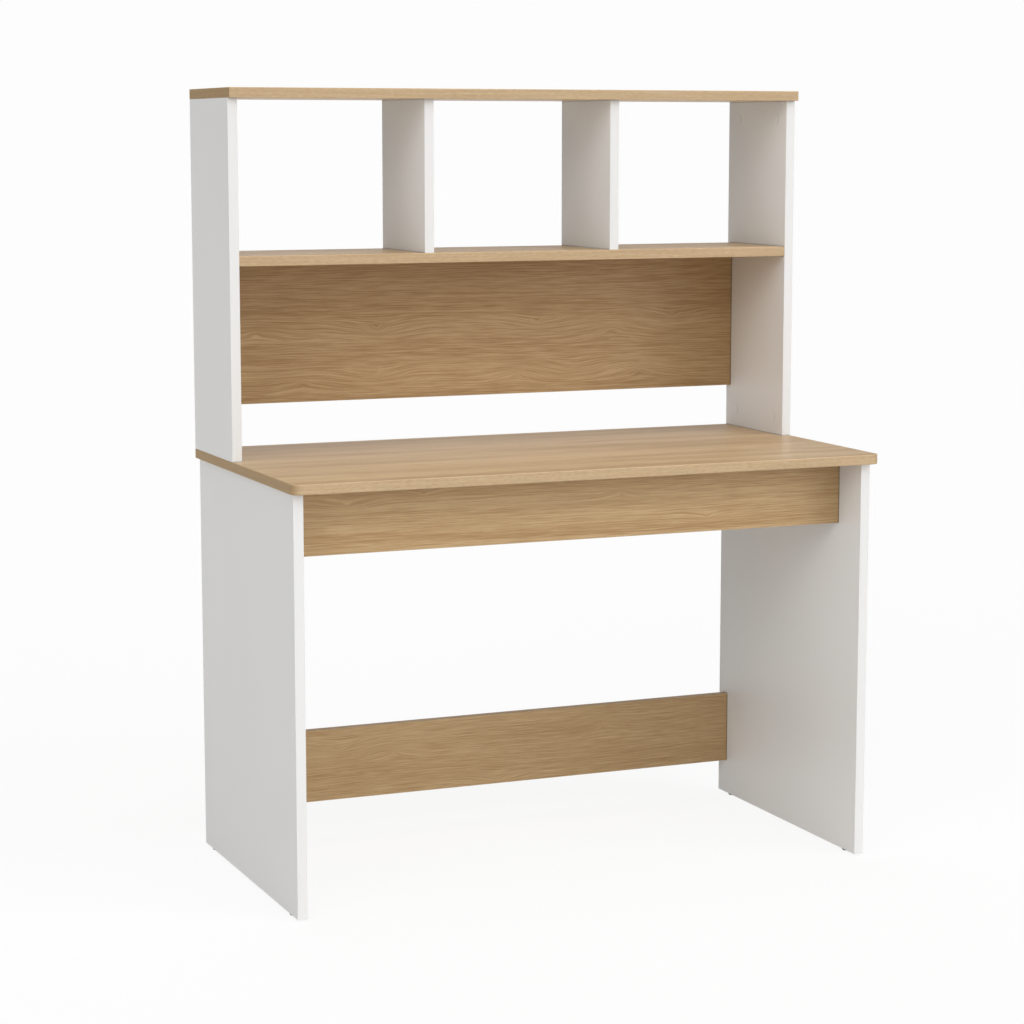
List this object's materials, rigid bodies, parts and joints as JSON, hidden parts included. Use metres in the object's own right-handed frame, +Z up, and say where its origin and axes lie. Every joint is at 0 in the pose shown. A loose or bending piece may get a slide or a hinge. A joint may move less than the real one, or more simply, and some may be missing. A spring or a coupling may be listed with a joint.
{
  "type": "student desk with hutch",
  "caption": "Flat-pack writing desk with white upright boards, oak-look desktop, apron and stretcher, and a hutch with open cubbies over a back panel.",
  "frame": {"origin": "middle of the footprint, on the floor plane under the glides", "axes": "+X to the sitter's right along the width, +Y to the rear, +Z up"},
  "size_m": [1.12, 0.574, 1.409],
  "materials": {
    "white_melamine": "white melamine facing on chipboard, fine matt texture",
    "white_edge_band": "white plastic edge band, satin",
    "oak_laminate": "light oak-grain melamine on chipboard, matt, grain along the length",
    "oak_edge_band": "oak-grain plastic edge band, satin, rounded arrises",
    "cover_film": "white self-adhesive film",
    "zinc": "die-cast zinc, dull",
    "plated_steel": "zinc-plated steel",
    "beech": "raw beech, fluted dowel",
    "glide_plastic": "dark grey moulded plastic"
  },
  "bodies": {
    "root": {"desktop": "oak_laminate", "desktop_wrap_band": "oak_edge_band", "desktop_rear_band": "oak_edge_band", "left_side_panel": "white_melamine", "right_side_panel": "white_melamine", "left_side_bands": "white_edge_band", "right_side_bands": "white_edge_band", "front_apron": "oak_laminate", "apron_band": "oak_edge_band", "rear_stretcher": "oak_laminate", "stretcher_bands": "oak_edge_band", "hutch_left_side": "white_melamine", "hutch_right_side": "white_melamine", "hutch_left_bands": "white_edge_band", "hutch_right_bands": "white_edge_band", "hutch_top": "oak_laminate", "hutch_top_bands": "oak_edge_band", "hutch_shelf": "oak_laminate", "shelf_bands": "oak_edge_band", "left_divider": "white_melamine", "right_divider": "white_melamine", "left_divider_bands": "white_edge_band", "right_divider_bands": "white_edge_band", "hutch_back_panel": "oak_laminate", "back_panel_bands": "oak_edge_band", "cam_locks": "zinc", "cam_bolts": "plated_steel", "cam_covers": "cover_film", "wooden_dowels": "beech", "divider_screws": "plated_steel", "glides": "glide_plastic", "glide_nails": "plated_steel"}
  },
  "joints": []
}
